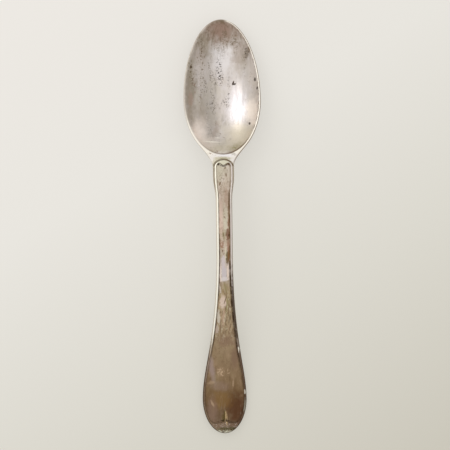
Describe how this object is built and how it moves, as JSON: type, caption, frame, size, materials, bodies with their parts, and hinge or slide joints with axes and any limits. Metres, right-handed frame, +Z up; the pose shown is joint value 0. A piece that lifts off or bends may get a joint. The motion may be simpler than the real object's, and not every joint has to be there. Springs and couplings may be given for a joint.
{
  "type": "teaspoon",
  "caption": "Teaspoon with an egg-shaped bowl, a slim curved stem that widens to a rounded end, and a raised thread border round the face of its handle.",
  "frame": {"origin": "on the table, under the middle of the spoon's length and width", "axes": "+Y along the spoon from the end of the handle to the tip of the bowl, +Z up, +X to the right seen from above with the bowl away from the viewer"},
  "size_m": [0.026, 0.14, 0.0119],
  "materials": {
    "bowl_silver": "worn silver plate on nickel silver, hazed, with fine scratches and pits",
    "stem_silver": "worn silver plate on nickel silver, tarnished olive and brown",
    "thread_silver": "silver plate polished by handling, dark in its groove",
    "solder": "hard silver solder, dull grey"
  },
  "bodies": {
    "root": {"bowl": "bowl_silver", "stem": "stem_silver", "thread_border": "thread_silver", "solder_seam": "solder"}
  },
  "joints": []
}
